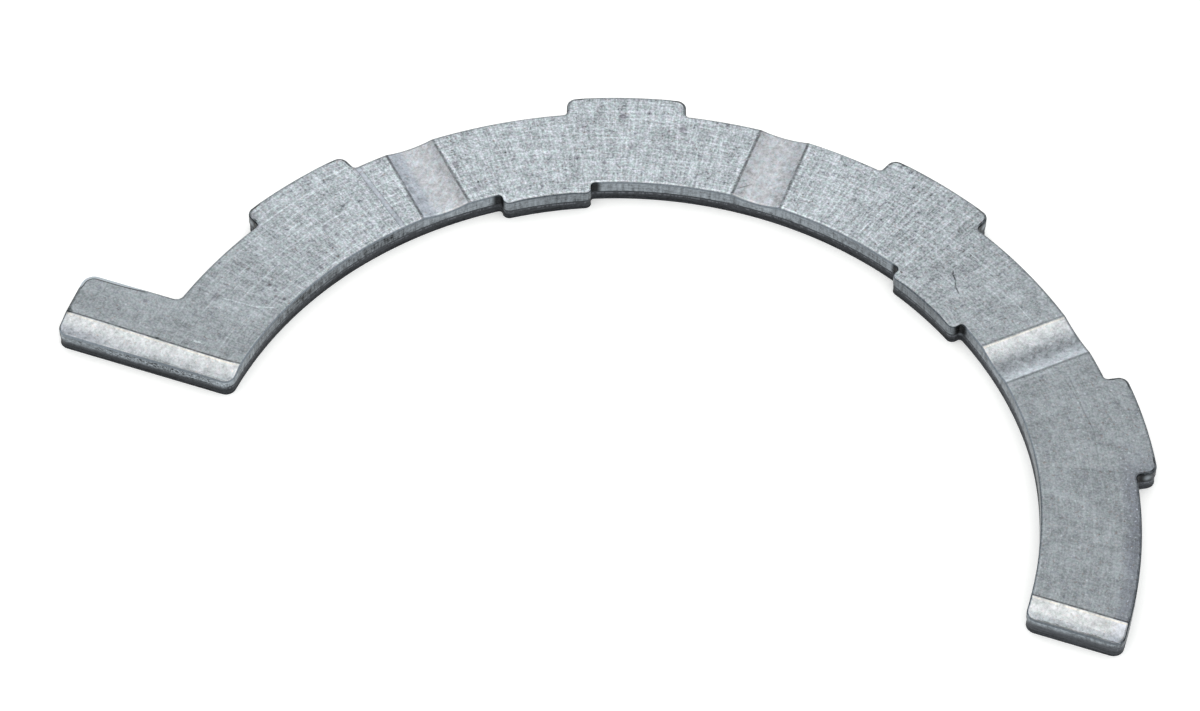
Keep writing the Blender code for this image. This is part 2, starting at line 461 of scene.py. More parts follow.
def shapeBody(body):
    seam, thick = edge["seam"], ring["thick"]
    deepest = max(channel["depth"], channel["reliefDepth"])

    def fullHeight(place):
        return max(0, min(1, (place.z - seam) / (thick - edge["rollDepth"] - seam)))

    # the rim is drawn down most at the outer corners
    corners = [tooth[2] for tooth in allTeeth()]
    corners += [endCentre(1, ring["outer"], -1), endCentre(1, ring["bore"], 1)]
    corners += [endCentre(-1, ring["bore"], 1)]
    shadeCorners(body, "tipNear", corners, wear["cornerReach"])
    shadeCorners(body, "rootNear", [tooth[0] for tooth in allTeeth()], wear["pocket"])

    def cornerShare(place):
        nearest = min((place.to_2d() - corner).length for corner in corners)
        return fullHeight(place) * max(0, 1 - nearest / wear["cornerReach"]) ** 1.5

    def tornShare(place):
        return 1 if wear["tornFrom"] < place.z < seam - wear["tornBelow"] else 0

    def closeShare(place):
        out = place.to_2d() - shaft
        around = (wear["closeStart"] - degrees(bearing(out))) / (wear["closeStart"] - wear["closeFull"])
        around = max(0, min(1, around))
        across = (ring["outer"] - out.length) / (ring["outer"] - ring["bore"])
        return max(0, min(1, across)) * around**2 * (3 - 2 * around)

    closing = shareOf(body, "closing", closeShare)
    press(body, "closingIn", closing, "X", -wear["closeIn"])
    pressed = shareOf(body, "pressed", lambda p: fullHeight(p) * channelDrop(p.to_2d()) / deepest)
    press(body, "coining", pressed, "Z", -deepest)
    sagging = shareOf(body, "sagging", cornerShare)
    press(body, "drawnCorners", sagging, "Z", -wear["cornerSag"])
    torn = shareOf(body, "torn", tornShare)
    press(body, "tearing", torn, "NORMAL", -wear["tornDepth"], wear["tornGrain"])
    body.vertex_groups.clear()


def smoothBody(body):
    bpy.ops.object.mode_set(mode="EDIT")
    bpy.ops.mesh.select_all(action="SELECT")
    bpy.ops.mesh.normals_make_consistent(inside=False)
    bpy.ops.object.mode_set(mode="OBJECT")
    bpy.ops.object.shade_smooth_by_angle(angle=radians(edge["crease"]))
    weighted = body.modifiers.new("faceNormals", "WEIGHTED_NORMAL")
    weighted.keep_sharp = True
    bpy.ops.object.modifier_apply(modifier=weighted.name)


washer = drawOutline()
say(f"outline of {len(washer.data.vertices)} points")
cutForChannels()
rimLength = markRim(washer)
say(f"{len(washer.data.polygons)} flat faces, rim {rimLength * 1000:.0f} mm long")
raiseBody(washer)
shapeBody(washer)
smoothBody(washer)
say(f"body of {len(washer.data.polygons)} faces")


# node trees are written as sums: a wire is one socket, and its operators add Math nodes
class Wire:
    def __init__(self, desk, socket):
        self.desk = desk
        self.socket = socket

    def math(self, operation, first, second=0.0):
        return self.desk.add("ShaderNodeMath", {"operation": operation}, {0: first, 1: second})

    def __add__(self, other):
        return self.math("ADD", self, other)

    __radd__ = __add__

    def __sub__(self, other):
        return self.math("SUBTRACT", self, other)

    def __rsub__(self, other):
        return self.math("SUBTRACT", other, self)

    def __mul__(self, other):
        return self.math("MULTIPLY", self, other)

    def __truediv__(self, other):
        return self.math("DIVIDE", self, other)

    def __abs__(self):
        return self.math("ABSOLUTE", self)

    def __pow__(self, other):
        return self.math("POWER", self, other)

    def least(self, other):
        return self.math("MINIMUM", self, other)

    def most(self, other):
        return self.math("MAXIMUM", self, other)

    def other(self, name):
        # another output of the same node
        return Wire(self.desk, self.socket.node.outputs[name])


class Desk:
    def __init__(self, material):
        self.tree = material.node_tree

    def add(self, kind, settings=None, inputs=None, output=0):
        # one node: its settings first, then values or links for its sockets
        node = self.tree.nodes.new(kind)
        for name, value in (settings or {}).items():
            setattr(node, name, value)
        for name, value in (inputs or {}).items():
            if isinstance(value, Wire):
                self.tree.links.new(value.socket, node.inputs[name])
            else:
                node.inputs[name].default_value = value
        return Wire(self, node.outputs[output])

    def ramp(self, value, low, high, start=0.0, end=1.0):
        # a soft step from start to end as the value goes from low to high
        places = {"Value": value, "From Min": low, "From Max": high, "To Min": start, "To Max": end}
        return self.add("ShaderNodeMapRange", {"interpolation_type": "SMOOTHSTEP"}, places)

    def swing(self, turn, first, last, start=0.0, end=1.0):
        # the same between two angles in degrees
        return self.ramp(turn, radians(first), radians(last), start, end)

    def noise(self, place, across, down, layer, detail=2.0, rough=0.6, warp=0.0):
        # a cloud pattern, so many lumps to a millimetre each way; every layer is another pattern
        spread = {"Vector": place, "Location": (0, 0, layer), "Scale": (across, down, 1)}
        spot = self.add("ShaderNodeMapping", None, spread)
        knobs = {"Vector": spot, "Scale": 1.0, "Detail": detail, "Roughness": rough, "Distortion": warp}
        return self.add("ShaderNodeTexNoise", None, knobs)

    def place(self, x, y):
        return self.add("ShaderNodeCombineXYZ", None, {0: x, 1: y})

    def blend(self, share, first, second, way="MIX"):
        settings = {"data_type": "RGBA", "blend_type": way}
        return self.add("ShaderNodeMix", settings, {0: share, 6: first, 7: second}, output=2)

    def band(self, value, low, high, soft):
        # 1 between low and high, fading out past both
        return self.ramp(value, low - soft, low) * (1 - self.ramp(value, high, high + soft))

    def fade(self, share, first, second):
        # from the first value to the second as the share goes from 0 to 1
        return self.add("ShaderNodeMix", {"data_type": "FLOAT"}, {0: share, 2: first, 3: second})

    def angle(self, y, x):
        return self.add("ShaderNodeMath", {"operation": "ARCTAN2"}, {0: y, 1: x})

    def kept(self, name):
        return self.add("ShaderNodeAttribute", {"attribute_name": name}, output="Fac")

    def feed(self, shader, name, wire):
        self.tree.links.new(wire.socket, shader.inputs[name])


# the metal's finish; tones are what the steel gives back under even light, except where painted shade and
# painted highlights are noted
look = {
    "meanRadius": 45.3,  # millimetres
    "seam": edge["seam"] * 1000,
    "grooveSide": channel["halfWidth"] * 1000,
    "farSide": 9,  # puts the line's other half, beyond the centre, far off
    "fine": 3.0,  # strokes to a millimetre, across their length
    "long": 0.27,  # and along it
    "blueSteel": (0.935, 1.0, 1.022, 1),
    "greenTint": (0.940, 1.0, 0.963, 1),
    "mauveTint": (1.075, 1.0, 1.045, 1),
    "brightSteel": (0.952, 1.0, 1.026, 1),
    "wallSteel": (0.90, 1.0, 1.09, 1),
    "tornSteel": (0.92, 0.98, 1.08, 1),
    "deepBlue": (0.93, 0.98, 1.08, 1),
    "deepMauve": (0.99, 0.96, 1.06, 1),
    "brownSpeck": (1.03, 0.95, 0.93, 1),
    "warmEdge": (1.04, 1.0, 0.92, 1),
}

# single marks on the bearing face: from and to, each as degrees round and millimetres out, width, strength
marks = (
    ((61.6, 44.4), (60.8, 43.8), 0.10, -0.22),  # short crack by the second tab
    ((60.9, 43.9), (60.0, 43.6), 0.11, -0.28),
    ((60.1, 43.6), (59.2, 43.0), 0.10, -0.24),
    ((59.3, 43.1), (58.0, 42.7), 0.11, -0.26),
    ((78.8, 46.9), (73.8, 47.1), 0.08, 0.09),  # long light scratches
    ((78.0, 47.4), (75.0, 47.4), 0.07, 0.07),
    ((66.0, 47.1), (57.1, 47.2), 0.08, 0.08),
    ((70.5, 46.9), (50.2, 46.6), 0.07, 0.05),
    ((53.8, 46.5), (49.3, 46.7), 0.08, 0.10),
    ((74.9, 41.8), (74.6, 45.9), 0.10, 0.13),  # across the ring, beside the tab
    ((74.1, 41.6), (73.8, 45.0), 0.10, -0.10),
    ((73.2, 41.4), (72.9, 45.6), 0.10, 0.12),
    ((71.6, 41.2), (71.3, 44.6), 0.11, 0.11),
    ((39.9, 46.2), (35.2, 46.6), 0.10, -0.05),  # faint dark line towards the plain end
    ((39.6, 46.7), (34.4, 46.6), 0.10, -0.06),
    ((34.6, 46.6), (31.4, 46.9), 0.10, -0.07),
    ((31.5, 46.9), (27.2, 46.6), 0.12, -0.06),
    ((32.3, 43.8), (31.9, 46.8), 0.14, -0.06),
    ((26.2, 43.5), (25.0, 48.4), 0.14, -0.05),
    ((167.1, 46.6), (165.8, 42.8), 0.10, 0.15),  # light scratches near the foot
    ((166.0, 43.3), (164.4, 41.4), 0.09, 0.14),
    ((164.9, 45.6), (163.9, 43.6), 0.08, 0.10),
    ((174.5, 46.3), (174.4, 45.1), 0.17, 0.20),  # bright nick
    ((158.6, 47.3), (143.0, 47.4), 0.07, 0.07),
    ((117.2, 47.0), (105.6, 46.3), 0.08, 0.10),  # long light scratch left of the middle
    ((101.5, 46.2), (80.0, 46.0), 0.06, 0.06),
    ((93.5, 41.6), (91.6, 43.0), 0.09, -0.18),  # scratches across the middle groove
    ((94.0, 42.3), (92.4, 43.3), 0.07, -0.12),
    ((175.4, 46.8), (175.2, 46.3), 0.16, -0.16),  # nicks along the step by the foot
    ((176.0, 49.9), (175.9, 49.2), 0.15, -0.20),
)

# dark spots: degrees round, millimetres out, radius, strength
spots = (
    (161.9, 43.8, 0.30, -0.13),
    (162.2, 42.9, 0.26, -0.12),
    (163.0, 42.3, 0.28, -0.13),
    (162.6, 41.5, 0.26, -0.13),
    (161.2, 42.5, 0.24, -0.10),
    (150.2, 45.3, 0.35, -0.10),
    (149.8, 43.7, 0.35, -0.11),
    (148.9, 41.9, 0.32, -0.12),
    (155.1, 41.6, 0.38, -0.12),
    (167.4, 47.2, 0.55, -0.09),
    (171.9, 52.9, 0.30, -0.11),
    (174.1, 54.7, 0.26, -0.08),
    (131.0, 45.9, 0.60, -0.11),
    (129.5, 42.2, 0.60, -0.11),
    (102.2, 48.2, 0.55, -0.15),
    (109.4, 49.4, 0.50, -0.15),
    (106.3, 50.0, 0.30, -0.15),
    (115.3, 44.2, 0.34, -0.14),
    (111.8, 43.3, 0.34, -0.14),
    (108.3, 45.3, 0.34, -0.13),
    (114.1, 48.1, 0.38, -0.13),
    (100.7, 46.6, 0.30, -0.14),
)


def markTone(desk, along, reach, breaks):
    # all the single marks, as one tone to add; breaks makes them uneven
    total = 0
    for start, end, width, strength in marks:
        ends = [Vector((radians(angle) * look["meanRadius"], radius)) for angle, radius in (start, end)]
        run = ends[1] - ends[0]
        way = run.normalized()
        near = (along - ends[0].x) * way.x + (reach - ends[0].y) * way.y
        off = abs((along - ends[0].x) * way.y - (reach - ends[0].y) * way.x)
        line = 1 - desk.ramp(off, width * 0.35, width)
        length = desk.ramp(near, -0.1, 0.3) * (1 - desk.ramp(near, run.length - 0.3, run.length + 0.1))
        total = total + line * length * strength
    return total * breaks


def spotTone(desk, along, reach):
    # all the dark spots, as one tone to add
    total = 0
    for angle, radius, size, strength in spots:
        sideways = abs(along - radians(angle) * look["meanRadius"])
        outward = abs(reach - radius)
        off = sideways.most(outward) + (sideways + outward)
        total = total + (1 - desk.ramp(off, size * 0.8, size * 2.2)) * strength
    return total


def placesOn(desk):
    # places in millimetres about the shaft's centre, round it and along the rim
    spot = desk.add("ShaderNodeTexCoord", output="Object")
    facing = desk.add("ShaderNodeSeparateXYZ", None, {0: spot.other("Normal")}, output="Z")
    whole = desk.add("ShaderNodeSeparateXYZ", None, {0: spot}, output="X")
    x = (whole - shaft.x) * 1000
    y = (whole.other("Y") - shaft.y) * 1000
    z = whole.other("Z") * 1000
    reach = (x * x + y * y) ** 0.5
    turn = desk.angle(y, x)
    along = turn * look["meanRadius"]
    run = desk.kept("rimRun") * 1000
    return SimpleNamespace(
        x=x, y=y, z=z, facing=facing, reach=reach, turn=turn, along=along,
        flat=desk.place(x, y), ring=desk.place(along, reach), rim=desk.place(run, z),
    )


def pastLine(x, y, degree):
    # distance from the line that leaves the shaft's centre at an angle, positive past it
    out = direction(radians(degree))
    return y * out.x - x * out.y + (x * out.x + y * out.y).least(0) * look["farSide"]


def regionsOf(desk, at):
    # which part of the stamped body each point is on, as shares from 0 to 1
    x, y = at.x, at.y
    top = desk.ramp(at.facing, 0.88, 0.95)
    wall = 1 - desk.ramp(abs(at.facing), 0.15, 0.45)
    under = desk.ramp(at.facing, -0.5, -0.9)
    parting = y - ring["partingRise"] * 1000
    ragged = desk.noise(at.ring, 0.9, 0.3, 0.0, detail=4, rough=0.7)
    sawn = (1 - desk.ramp(parting, 0.1, 0.4)) * wall  # the parting faces, where the seam is faint
    seamWidth = desk.fade(sawn, 0.05, 0.42)
    seamAt = look["seam"] + sawn * desk.ramp(x, 0, 1, -0.12, 0.30)
    torn = 1 - desk.ramp((at.z + (ragged - 0.5) * 0.22 - seamAt) / seamWidth, -1.25, 0.55)
    torn = torn * (1 - under)
    between = [pastLine(x, y, angle) for angle in channel["grooves"]]
    aside = abs(between[0]).least(abs(between[1])).least(abs(between[2]))
    grooved = 1 - desk.ramp(aside, look["grooveSide"] - 0.04, look["grooveSide"] + 0.04)
    # the foot's step runs a little askew, as its relief was pressed
    askew = desk.ramp(x, -59, -42, 0.0, 0.26) * (1 - desk.ramp(x, -42, -38))
    fromStep = parting + askew + desk.ramp(x, 0, 1, 0.0, 0.06)
    relieved = 1 - desk.ramp(fromStep, 2.54, 2.62)
    coined = grooved.most(relieved) * top
    return SimpleNamespace(
        top=top, wall=wall, under=under, parting=parting, ragged=ragged, sawn=sawn, torn=torn,
        between=between, aside=aside, grooved=grooved, fromStep=fromStep, relieved=relieved, coined=coined,
    )


def brushedFace(desk, at):
    # crossed brushing: short bright strokes along and across the ring, over mottled metal
    turn, flat = at.turn, at.flat
    fine, long = look["fine"], look["long"]
    crossing = desk.noise(at.ring, fine, long, 0.0)
    following = desk.noise(at.ring, long, fine, 7.0)
    drawn = desk.noise(at.ring, 0.08, 3.4, 3.0)
    raked = desk.noise(at.ring, 2.6, 0.09, 63.0)
    strokes = desk.ramp(crossing, 0.45, 0.61) * desk.swing(turn, 18, 50, 0.3, 1.0)
    strokes = strokes + desk.ramp(following, 0.46, 0.62) * desk.swing(turn, 18, 50, 1.2, 0.8)
    strokes = strokes + desk.ramp(drawn, 0.55, 0.66) * desk.swing(turn, 120, 165, 0.5, 1.3)
    rakes = desk.ramp(raked, 0.56, 0.66) - desk.ramp(raked, 0.44, 0.34) * 0.8
    strokes = strokes + rakes * desk.band(turn, radians(63), radians(79), radians(6)) * 0.6
    strokes = 1 + (strokes - 1.0) * desk.ramp(at.x, -53, -45, 0.35, 1.0)
    brushed = desk.swing(turn, 36, 81) * (1 - desk.swing(turn, 138, 182))
    mottle = desk.noise(flat, 0.24, 0.24, 1.0, detail=5, rough=0.62)
    grain = desk.noise(flat, 4.0, 4.0, 5.0, detail=1.5, rough=0.7)
    salt = desk.ramp(grain, 0.40, 0.62) - 0.45
    blotch = desk.noise(flat, 1.1, 1.1, 8.0, detail=3)
    cloud = desk.noise(flat, 0.55, 0.55, 31.0, detail=4, rough=0.65, warp=1.2)
    tint = desk.noise(flat, 1.9, 1.9, 43.0, detail=3, rough=0.75)
    cells = desk.ramp(desk.noise(flat, 1.7, 1.7, 27.0), 0.56, 0.68)
    specks = desk.ramp(desk.noise(flat, 2.6, 2.6, 9.0), 0.60, 0.70)
    pits = desk.ramp(desk.noise(flat, 3.4, 3.4, 19.0, detail=1, rough=0.5), 0.64, 0.72)
    pits = pits * desk.ramp(cloud, 0.42, 0.62)

    tone = 0.322 + brushed * 0.19 + (strokes - 1.0) * (0.036 + brushed * 0.084)
    tone = tone + (mottle - 0.5) * 0.24 + (blotch - 0.5) * (0.26 + brushed * 0.16)
    tone = tone + salt * (0.085 + brushed * 0.125)
    tone = tone - desk.band(turn, radians(62), radians(72), radians(7)) * 0.035
    tone = tone - cells * (0.032 + brushed * 0.08) - specks * (0.06 + brushed * 0.06)
    fleck = desk.noise(flat, 2.2, 2.2, 71.0, rough=0.7, warp=0.8)
    sparkle = desk.ramp(desk.noise(flat, 3.1, 3.1, 83.0, detail=1, rough=0.5), 0.66, 0.74)
    tone = tone + sparkle * 0.13
    # the drawn-down rim of the plain end: painted shade where its wider roll slopes away, bluish, with
    # scuffed bright specks
    drawnRimShade = desk.ramp(at.reach + (cloud - 0.5) * 2.2, 47.9, 49.3) * desk.swing(turn, 30, 22)
    drawnRimShade = drawnRimShade * desk.ramp(blotch, 0.30, 0.60, 0.35, 1.0)
    tone = tone * (1 - drawnRimShade * 0.36) + drawnRimShade * sparkle * 0.2
    return SimpleNamespace(
        crossing=crossing, following=following, drawn=drawn, brushed=brushed, mottle=mottle, grain=grain,
        blotch=blotch, cloud=cloud, tint=tint, cells=cells, specks=specks, pits=pits, fleck=fleck,
        drawnRimShade=drawnRimShade, tone=tone,
    )


def coinedMetal(desk, at, part, face):
    # grooves and end reliefs: smoother pressed metal, with cloudy stains and flakes, and painted reflection
    # across the grooves' curves
    cloudy = (face.cloud - 0.5) * 0.40 + (face.grain - 0.5) * 0.30 + (face.blotch - 0.5) * 0.34
    cloudy = cloudy + (face.fleck - 0.5) * 0.40 - face.pits * 0.10
    # across each groove the tone follows its curve as painted reflection: lighter in the middle, darker in
    # the first groove's valley and on the last groove's far side
    middle = 1 - desk.ramp(part.aside, 0.6, 2.3)
    valleyShade = 1 - desk.ramp(abs(part.between[0] + 0.35), 0.1, 1.9)
    first = 1 - desk.swing(at.turn, 55, 60)
    lastSideShade = desk.ramp(part.between[2], 0.7, 1.3) * (1 - part.relieved)
    upper = (0.425 + middle * 0.12) * (1 - lastSideShade * 0.08)
    groove = desk.fade(first, upper, 0.49 - valleyShade * 0.19)
    fallen = 0.408 + desk.ramp(part.parting, 0.3, 2.5) * 0.075
    smudge = desk.ramp(at.x, -52, -57) * (1 - desk.ramp(part.parting, 0.4, 1.8))
    fallen = fallen * (1 - smudge * (0.16 + desk.ramp(face.cloud, 0.4, 0.6) * 0.16))
    flaked = desk.noise(at.flat, 1.5, 0.9, 101.0, detail=3, rough=0.7, warp=0.6)
    flaky = part.grooved * (1 - first) * (1 - lastSideShade)
    tone = desk.fade(part.relieved, groove, fallen) + cloudy
    tone = tone + (desk.ramp(flaked, 0.38, 0.62) - 0.5) * flaky * 0.07
    return SimpleNamespace(
        first=first, lastSideShade=lastSideShade, smudge=smudge, flaked=flaked, flaky=flaky, tone=tone,
    )


def shearedEdge(desk, at, part, face):
    # the burnished band: upright streaks, darker and ragged below the seam
    x, z, reach, turn, rim = at.x, at.z, at.reach, at.turn, at.rim
    sawn = part.sawn
    streak = desk.noise(rim, 3.2, 0.45, 2.0)
    layer = desk.noise(rim, 0.25, 4.5, 11.0, detail=3)
    rough = desk.noise(rim, 3.0, 5.0, 4.0, detail=3, rough=0.7)
    broad = desk.noise(rim, 0.13, 0.3, 14.0, rough=0.5)
    dabs = desk.noise(rim, 1.4, 1.3, 52.0, detail=3, rough=0.7)
    outside = desk.ramp(reach, 44.5, 46.0)
    bright = desk.swing(turn, 150, 128)
    footEnd = sawn * desk.ramp(x, 0, -1)
    sheared = 0.212 + bright * 0.098 + footEnd * 0.04 - sawn * (1 - footEnd) * 0.085
    sheared = sheared - desk.swing(turn, 58, 48) * (1 - sawn) * 0.035 + (broad - 0.5) * 0.34
    pepper = desk.noise(rim, 4.2, 4.2, 91.0, detail=1)
    peppered = desk.band(x, -53, -40, 3) * sawn
    sheared = sheared + (streak - 0.5) * (0.50 - sawn * 0.3) + (rough - 0.5) * (0.46 + sawn * 0.1)
    sheared = sheared + (dabs - 0.5) * 0.60 + (layer - 0.5) * 0.28
    sheared = sheared + (desk.ramp(pepper, 0.42, 0.58) - 0.5) * peppered * 0.2
    tabs = desk.ramp(reach, 40.7, 40.5)
    sheared = sheared * (1 - tabs * 0.32) - desk.ramp(dabs, 0.48, 0.62) * tabs * 0.05
    # painted shade: the outer walls, which face away, are written darker
    sheared = sheared * (1 - outside * (1 - sawn) * 0.55)
    # the lugs' side walls are painted dark, with a painted highlight blob in the middle where the dished wall
    # would catch the light
    lugSide = desk.ramp(reach, 50.10, 50.30) * desk.ramp(part.parting, 8.6, 9.2)
    lugHighlight = 1 - desk.ramp(((reach - 51.0) * (reach - 51.0) + (z - 1.75) * (z - 1.75) * 2) ** 0.5, 0.15, 0.75)
    sheared = desk.fade(lugSide, sheared, 0.045 + lugHighlight * (0.20 + (rough - 0.5) * 0.3))

    low = desk.ramp(z, 0.25, 1.15)
    ripped = 0.050 + low * 0.040 + (rough - 0.5) * 0.14 + (layer - 0.5) * 0.12
    ripped = ripped + desk.swing(turn, 55, 45) * 0.02
    # painted highlight: light dashes along a ledge in the torn band
    ledgeGlint = desk.band(z, look["seam"] - 0.42, look["seam"] - 0.28, 0.05) * (1 - sawn)
    ripped = ripped + ledgeGlint * desk.ramp(streak + (part.ragged - 0.5) * 0.6, 0.46, 0.58) * 0.09
    # painted shadow: a dark ragged line under the seam's ledge
    seamShadow = desk.band(z + (part.ragged - 0.5) * 0.22, look["seam"] - 0.12, look["seam"] - 0.05, 0.04)
    ripped = (ripped * (1 - seamShadow * (1 - sawn) * 0.62)).most(0.018)

    # and the roll above the band: darker than the face, partly as unground metal and partly as painted shade
    # where it turns away, darkest on the outer rims
    inset = desk.kept("rimIn")
    front = 1 - desk.ramp(part.parting, 0.35, 0.6)
    rolled = desk.fade(outside, 0.23 - tabs * 0.11, 0.055)
    rolled = desk.fade(front, rolled, 0.25) + (face.grain - 0.5) * 0.22 + (streak - 0.5) * 0.16
    return SimpleNamespace(
        streak=streak, rough=rough, outside=outside, inset=inset, front=front,
        sheared=sheared, ripped=ripped, rolled=rolled,
    )


def faceLines(desk, at, part, face, coin, cut, tone):
    # thin lines beside the grooves and the steps, single marks and spots, a painted highlight inside the
    # bore's edge and a painted shade line inside the outer edge
    x, turn, aside, fromStep, first = at.x, at.turn, part.aside, part.fromStep, coin.first
    unrelieved = 1 - part.relieved
    wavy = desk.ramp(face.blotch, 0.35, 0.6, 0.6, 1.25)
    sideLine = (1 - desk.ramp(abs(aside - (look["grooveSide"] + 0.04)), 0.05, 0.22)) * unrelieved * wavy
    besideLine = desk.band(aside, 2.78, 3.0, 0.10) * unrelieved
    nicks = desk.ramp(desk.noise(at.flat, 1.9, 0.0, 107.0), 0.58, 0.68)
    stepLine = desk.band(fromStep, 2.60, 2.68, 0.09) * wavy
    stepLine = stepLine.most(desk.band(fromStep, 2.56, 2.80, 0.12) * nicks * 0.8)
    stepEnd = 1 - desk.ramp(abs(x + 58.9) + abs(fromStep - 2.78), 0.22, 0.62)
    stepLight = desk.band(fromStep, 2.38, 2.46, 0.07) * desk.ramp(face.blotch, 0.30, 0.55, 0.2, 1.0)
    tone = tone + markTone(desk, at.along, at.reach, desk.ramp(face.grain, 0.3, 0.55, 0.45, 1.25))
    smudges = spotTone(desk, at.along, at.reach)
    smudges = smudges * desk.ramp(face.grain + face.blotch * 0.5, 0.55, 0.85, 0.35, 1.3)
    tone = tone + smudges * 1.35
    innerLight = desk.band(aside, 2.28, 2.40, 0.06) * first * unrelieved
    tone = tone * (1 + innerLight * 0.10)
    tone = tone * (1 - sideLine * (0.56 - first * 0.24)) * (1 + besideLine * 0.12)
    tone = tone * (1 - stepLine * 0.56) * (1 + stepLight * 0.09)
    tone = tone * (1 - stepEnd * 0.6)
    # painted highlight on the face just inside the bore's edge, where the roll starts to turn
    lip = desk.band(cut.inset, 0.27, 0.31, 0.05) * desk.ramp(cut.inset, 0.44, 0.36)
    boreHighlight = lip * (1 - cut.outside) * desk.swing(turn, 52, 75)
    boreHighlight = boreHighlight * desk.swing(turn, 172, 150)
    tone = tone * (1 + boreHighlight * desk.ramp(cut.streak, 0.4, 0.6, 0.10, 0.45))
    # painted shade line just inside the outer edge, where the roll turns away, deeper near the corners
    rimShadeLine = desk.band(cut.inset, 0.14, 0.24, 0.07) * cut.outside * (1 - cut.front) * desk.ramp(x, -53, -50)
    deeper = desk.ramp(desk.kept("tipNear"), 0.0, 0.35) * 0.35
    tone = tone * (1 - rimShadeLine * (0.35 + deeper) * wavy)
    return SimpleNamespace(
        smudges=smudges, innerLight=innerLight, stepLight=stepLight, lip=lip, tone=tone,
    )


def footEdges(desk, at, part, tone, rolled):
    # the foot's upper corner: a painted shade line, and a painted highlight on the roll outside it
    x, y = at.x, at.y
    cornerAtX = (ring["footCorner"] - ring["outer"] - ring["footReach"]) * 1000
    cornerAtY = (ring["partingRise"] + ring["footHeight"] - ring["footCorner"]) * 1000
    pastX = (cornerAtX - x).most(0)
    pastY = (y - cornerAtY).most(0)
    footIn = ring["footCorner"] * 1000 - (pastX * pastX + pastY * pastY) ** 0.5
    heel = 1 - desk.ramp(abs(x - cornerAtX - 1.0) + abs(y - cornerAtY - 0.6) * 1.8, 1.6, 6.0)
    heel = heel * desk.ramp(x, -50, -51) * (1 - part.relieved)
    heel = heel * desk.ramp(y, cornerAtY - 1.4, cornerAtY - 0.3)
    lineAt = 0.20 + heel * 0.20
    footShadeLine = 1 - desk.ramp(abs(footIn - lineAt), 0.04, 0.13)
    footRollHighlight = desk.ramp(footIn, lineAt + 0.02, lineAt - 0.05) * desk.ramp(heel, 0.0, 0.4)
    tone = tone * (1 - footShadeLine * desk.ramp(heel, 0.0, 0.3) * 0.78)
    tone = desk.fade(footRollHighlight, tone, 0.50)
    rolled = desk.fade(desk.ramp(heel, 0.0, 0.4), rolled, 0.50)
    tipSide = desk.ramp(x, -58.75, -59.0) * desk.ramp(y, cornerAtY - 0.1, cornerAtY - 0.8)
    tipSide = tipSide * (1 - part.relieved)
    return tone * (1 - tipSide * 0.5), rolled * (1 - tipSide * 0.5)


def endEdges(desk, at, part, cut, lip, tone, rolled):
    # the ragged roll of both ends, and the scuffs on the plain end's rims
    ripple = desk.noise(at.flat, 1.3, 3.0, 97.0, detail=3, rough=0.7)
    endRoll = 1 - desk.ramp(part.parting + (ripple - 0.5) * 0.5, 0.26, 0.36)
    endRoll = endRoll * desk.ramp(at.x, 0, 1).most(desk.ramp(at.x, -55, -47) * 0.5)
    tone = tone * (1 - endRoll * 0.62)
    rolled = rolled * (1 - endRoll * 0.35)
    scuffs = lip * cut.outside * desk.swing(at.turn, 30, 20)
    scuffs = scuffs * desk.ramp(cut.rough, 0.52, 0.62)
    boreScuffs = lip * (1 - cut.outside) * desk.swing(at.turn, 34, 22)
    boreScuffs = boreScuffs * desk.ramp(cut.rough, 0.45, 0.60)
    return tone + scuffs * 0.16 + boreScuffs * 0.14, rolled


def steelHue(desk, part, face, coin, lines):
    # the steel's colour: cooler or warmer from place to place, and bluish in the painted shade on the last
    # groove's far side and on the plain end's drawn-down rim
    top, coined = part.top, part.coined
    steel = desk.blend(coined, look["blueSteel"], look["brightSteel"])
    hue = desk.blend(desk.ramp(face.tint, 0.36, 0.64), look["greenTint"], look["mauveTint"])
    tinted = desk.blend(1.0, steel, hue, "MULTIPLY")
    steel = desk.blend(top * (0.55 + face.brushed * 0.45), steel, tinted)
    steel = desk.blend(face.cells * (1 - coined) * top * 0.6, steel, look["deepBlue"])
    steel = desk.blend((lines.smudges * -5).least(1) * top, steel, look["deepMauve"])
    steel = desk.blend(coin.lastSideShade * coined * 0.5, steel, look["deepBlue"])
    steel = desk.blend(face.drawnRimShade * top, steel, look["deepBlue"])
    stained = coin.flaky * coined * desk.ramp(coin.flaked, 0.55, 0.45) * 0.5
    steel = desk.blend(stained, steel, look["brownSpeck"])
    steel = desk.blend(coin.smudge * coined * 0.6, steel, look["deepBlue"])
    steel = desk.blend(face.specks.most(face.pits) * top, steel, look["brownSpeck"])
    steel = desk.blend(lines.innerLight * desk.ramp(part.between[0], -1, 1) * 0.7, steel, look["warmEdge"])
    steel = desk.blend(lines.stepLight * top, steel, look["warmEdge"])
    steel = desk.blend(1 - top, steel, look["wallSteel"])
    return desk.blend(part.torn * (1 - top), steel, look["tornSteel"])


